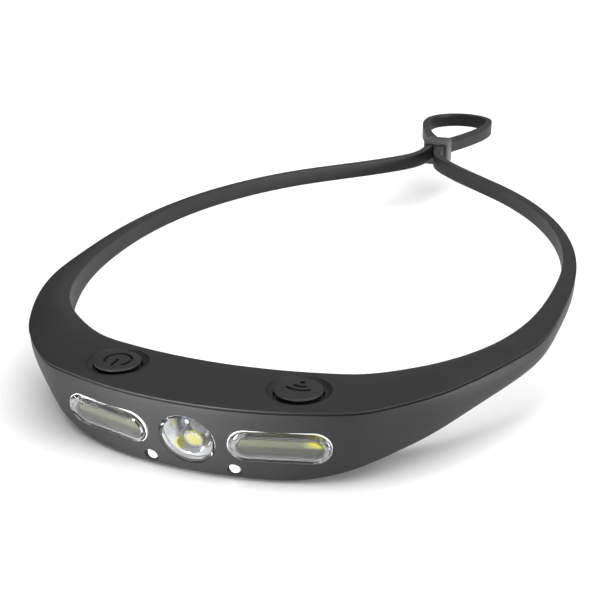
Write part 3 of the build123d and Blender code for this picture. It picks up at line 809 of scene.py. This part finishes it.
# ---- buttons --------------------------------------------------------------------------------------
def arc_bar(radius, thick, start, end, centre):
    """Plan outline of a curved bar between two angles in degrees."""
    angles = np.radians(np.linspace(start, end, 25))
    outer = [((radius + thick / 2) * cos(t), (radius + thick / 2) * sin(t)) for t in angles]
    inner = [((radius - thick / 2) * cos(t), (radius - thick / 2) * sin(t)) for t in reversed(angles)]
    return [(x + centre[0], y + centre[1]) for x, y in outer + inner]


def make_cap(name, side, signs):
    """A round cap with a soft edge and sunk sign strokes; it fills the CAD cap's place."""
    place = button_place(side, CAP_TOP)
    radius, stem, depth = CAP_RADIUS, 1.8, CAP_TOP - cap_low.z
    outline = [
        (0, -0.1), (2.0, -0.09), (3.6, -0.05), (radius - 1.0, 0.0), (radius - 0.5, 0.03),
        (radius - 0.22, 0.12), (radius - 0.05, 0.28), (radius, 0.45), (radius - 0.08, 0.65),
        (radius - 0.4, 1.1), (radius - 0.4, 1.5), (stem, 1.5), (stem, depth), (0, depth),
    ]
    cap = lathe(f"{name}_cap", outline, place, 96)
    carve(cap, [prism("stroke", sign, place, -0.6, SIGN_DEPTH) for sign in signs])
    smooth(cap)
    settle(cap, CAP_SILICONE, name, "button_silicone", name)


half_bar = SIGN_WIDTH / 2
power_sign = [
    arc_bar(3.3, SIGN_WIDTH, -52, 232, POWER_CENTRE),
    [(-half_bar, -3.5), (half_bar, -3.5), (half_bar, 0.4), (-half_bar, 0.4)],
]
wave_sign = [
    arc_bar(0.36, 0.7, 0, 359, WAVE_CENTRE),
    arc_bar(2.3, SIGN_WIDTH, -134, -46, WAVE_CENTRE),
    arc_bar(4.3, SIGN_WIDTH, -134, -46, WAVE_CENTRE),
]
make_cap("power_button", -1, power_sign)
make_cap("sensor_button", 1, wave_sign)


# ---- slider ---------------------------------------------------------------------------------------
def along_y(name, outline, ends):
    """A straight block over an (x, z) outline, from the first to the last of the ends in y."""
    return rings_to_mesh(name, [[(x, y, z) for x, z in outline] for y in ends])


def make_slider():
    """The rectangular slider: two channels with a web between, soft outer edges and grooves on top."""
    low, high = slider_low, slider_high
    middle, half = (low + high) / 2, (high - low) / 2
    rings = []
    for y, grow in (
        (low.y, -0.35), (low.y + 0.1, -0.12), (low.y + 0.35, 0),
        (high.y - 0.35, 0), (high.y - 0.1, -0.12), (high.y, -0.35),
    ):
        outline = round_rectangle(half.x + grow, half.z + grow, 0.9)
        rings.append([(middle.x + x, y, middle.z + z) for x, z in outline])
    block = rings_to_mesh("slider_block", rings)
    cutters = []
    strand_x, strand_z = STRAND_OUTER - STRAND_THICK / 2, Z_TOP - STRAP_HEIGHT / 2
    half_w, half_h = STRAND_THICK / 2 + CHANNEL_GAP, STRAP_HEIGHT / 2 + CHANNEL_GAP
    for side in (-1, 1):
        x = middle.x + side * strand_x
        outline = [(x + i * half_w, strand_z + j * half_h) for i, j in CORNERS]
        cutters.append(along_y("channel", outline, (low.y - 1, high.y + 1)))
    profile = [(-0.42, 0.2), (-0.2, -0.3), (0.2, -0.3), (0.42, 0.2)]
    for offset in (-2.2, 0, 2.2):
        rings = [[(x, middle.y + offset + y, high.z + z) for y, z in profile] for x in (-3.2, 3.2)]
        cutters.append(rings_to_mesh("groove", rings))
    carve(block, cutters)
    smooth(block)
    settle(block, SLIDER_RUBBER, "slider", "slider_rubber", "strap_slider")


make_slider()


# ---- port cover -----------------------------------------------------------------------------------
def make_port_cover():
    """Sealing flap on the underside: follows the pod's skin, with grip grooves and a plug on its inside."""
    middle, half = (flap_low + flap_high) / 2, (flap_high - flap_low) / 2
    top = POCKET_TOP - 0.2
    rings = []
    # each ring is how far it lies outside the flap, and its height over the keel, or None for the flat top
    for grow, lift in (
        (-1.6, 0), (-0.5, 0), (-0.15, 0.1), (0, 0.35),
        (0, None), (-0.3, None), (-1.6, None),
    ):
        ring = []
        for x, y in round_rectangle(half.x + grow, half.y + grow, 1.2):
            z = top if lift is None else keel(middle.x + x) + lift
            ring.append((middle.x + x, middle.y + y, z))
        rings.append(ring)
    flap = rings_to_mesh("port_flap", rings)
    ribs = []
    for step in range(RIB_COUNT):
        x = flap_low.x + RIB_START + RIB_STEP * step
        profile = [(x + dx, keel(x) + z) for dx, z in ((-0.3, -0.05), (0, 0.32), (0.3, -0.05))]
        ribs.append(along_y("rib_groove", profile, (middle.y - 2.6, middle.y + 2.6)))
    carve(flap, ribs)
    rings = []
    for z, inset in ((top - 0.3, 0), (top + 1.1, 0), (top + 1.3, 0.1), (top + 1.4, 0.3)):
        outline = round_rectangle(2.6 - inset, 0.9 - inset, 0.5)
        rings.append([(middle.x + 0.4 + x, middle.y + y, z) for x, y in outline])
    plug = rings_to_mesh("port_plug", rings)
    for piece in (flap, plug):
        smooth(piece)
    settle(flap, SILICONE, "port_cover", "silicone", "port_cover")
    settle(plug, SILICONE, "port_cover", "silicone")


make_port_cover()


# ---- CAD nodes that stay --------------------------------------------------------------------------
NODE_MATERIALS = {
    SHELL: ["front_frame", "rear_shell"],
    SEAL: ["case_seal", "battery_pad"],
    STEEL: ["case_screws", "usb_c_socket"],
    BOARD_METAL: ["cob_board_left", "cob_board_right", "spot_led_board", "heat_spreader"],
    CIRCUIT: ["main_board", "charge_board"],
    BLACK_PART: ["controller_chip", "driver_coil", "board_header", "power_switch", "sensor_switch",
                 "ir_emitter", "ir_receiver", "battery_lead_negative"],
    IVORY: ["power_switch_plunger", "sensor_switch_plunger", "battery_connector"],
    FOIL: ["battery_cell"],
    RED_WIRE: ["battery_lead_positive"],
    INDICATOR: ["charge_light"],
}
for material, names in NODE_MATERIALS.items():
    for node_name in names:
        dress(nodes[node_name], material)


# ---- floor, light and camera ----------------------------------------------------------------------
FLOOR_HALF = 12.0  # metres
ROOM_LEVEL, BACKDROP_LEVEL = 0.16, 0.97


def plain_stage():
    """A large pale floor under the pod."""
    z = (jacket_low.z - 0.4) * MM
    corners = [(i * FLOOR_HALF, j * FLOOR_HALF, z) for i, j in CORNERS]
    mesh = bpy.data.meshes.new("floor")
    mesh.from_pydata(corners, [], [(0, 1, 2, 3)])
    floor = add_object("floor", mesh)
    m = Nodes("pale_floor")
    m.colour(m.ramp(m.noise(3, 2), [(0.3, (0.93, 0.93, 0.93)), (0.7, (0.95, 0.95, 0.95))]))
    m.set(Roughness=0.9, Specular_IOR_Level=0.1)
    dress(floor, m.material)


def point_along(obj, direction):
    """Turns an object's -Z, the way that lights and cameras look, along a direction."""
    obj.rotation_mode = "QUATERNION"
    obj.rotation_quaternion = Vector(direction).to_track_quat("-Z", "Y")


def soft_light(name, place, aim, size, power):
    """A rectangular soft box that looks at a point."""
    data = bpy.data.lights.new(name, "AREA")
    data.shape = "RECTANGLE"
    data.size, data.size_y = size
    data.energy = power
    light = add_object(name, data)
    light.location = place
    light.visible_camera = False
    point_along(light, Vector(aim) - Vector(place))


def room():
    """The world: a white backdrop for the camera and a dim room for all other light."""
    world = bpy.data.worlds.new("studio")
    bpy.context.scene.world = world
    world.use_nodes = True
    tree = world.node_tree
    background = tree.nodes["Background"]
    path = tree.nodes.new("ShaderNodeLightPath")
    level = tree.nodes.new("ShaderNodeMapRange")
    level.inputs["To Min"].default_value = ROOM_LEVEL
    level.inputs["To Max"].default_value = BACKDROP_LEVEL
    tree.links.new(path.outputs["Is Camera Ray"], level.inputs["Value"])
    tree.links.new(level.outputs["Result"], background.inputs["Strength"])
    background.inputs["Color"].default_value = (1, 1, 1, 1)


def studio_lights():
    """A broad light overhead, soft boxes at both sides, behind and over the front, and a small pool."""
    data = bpy.data.lights.new("overhead", "SUN")
    data.energy = 3.3
    data.angle = radians(75)
    point_along(add_object("overhead", data), (-0.34, 0.02, -0.94))
    soft_light("key_left", (-0.80, -0.30, 0.04), (0, 0, 0), (0.5, 0.06), 1.5)
    soft_light("right_side", (0.80, 0.0, 0.04), (0.06, 0.02, 0), (0.4, 0.06), 9)
    soft_light("behind", (-0.15, 0.62, 0.28), (0, 0.2, 0), (0.5, 0.25), 0.3)
    soft_light("ridge", (-0.25, -0.28, 0.69), (0, 0, 0), (0.3, 0.3), 1.2)
    data = bpy.data.lights.new("front_pool", "SPOT")
    data.energy = 76
    data.spot_size = radians(8.8)
    data.spot_blend = 1.0
    data.shadow_soft_size = 0.03
    pool = add_object("front_pool", data)
    pool.location = (-0.10, -0.42, 0.002)
    pool.visible_camera = False
    point_along(pool, Vector((-0.008, -0.022, 0)) - pool.location)


CAMERA_AZIMUTH, CAMERA_ELEVATION = radians(19.44), radians(21.74)
CAMERA_DISTANCE = 0.31086
CAMERA_TARGET = Vector((0.0050, 0.04568, Z_TOP * MM))
CAMERA_LENS = 66.0


def place_camera():
    """Camera at the viewing angle of the reference."""
    data = bpy.data.cameras.new("camera")
    data.lens = CAMERA_LENS
    data.sensor_width = 36.0
    data.clip_start, data.clip_end = 0.01, 50.0
    camera = add_object("camera", data)
    level = cos(CAMERA_ELEVATION)
    back = Vector((sin(CAMERA_AZIMUTH) * level, -cos(CAMERA_AZIMUTH) * level, sin(CAMERA_ELEVATION)))
    camera.location = CAMERA_TARGET + back * CAMERA_DISTANCE
    point_along(camera, -back)
    bpy.context.scene.camera = camera


plain_stage()
room()
studio_lights()
place_camera()
bpy.context.scene.view_settings.view_transform = "Standard"
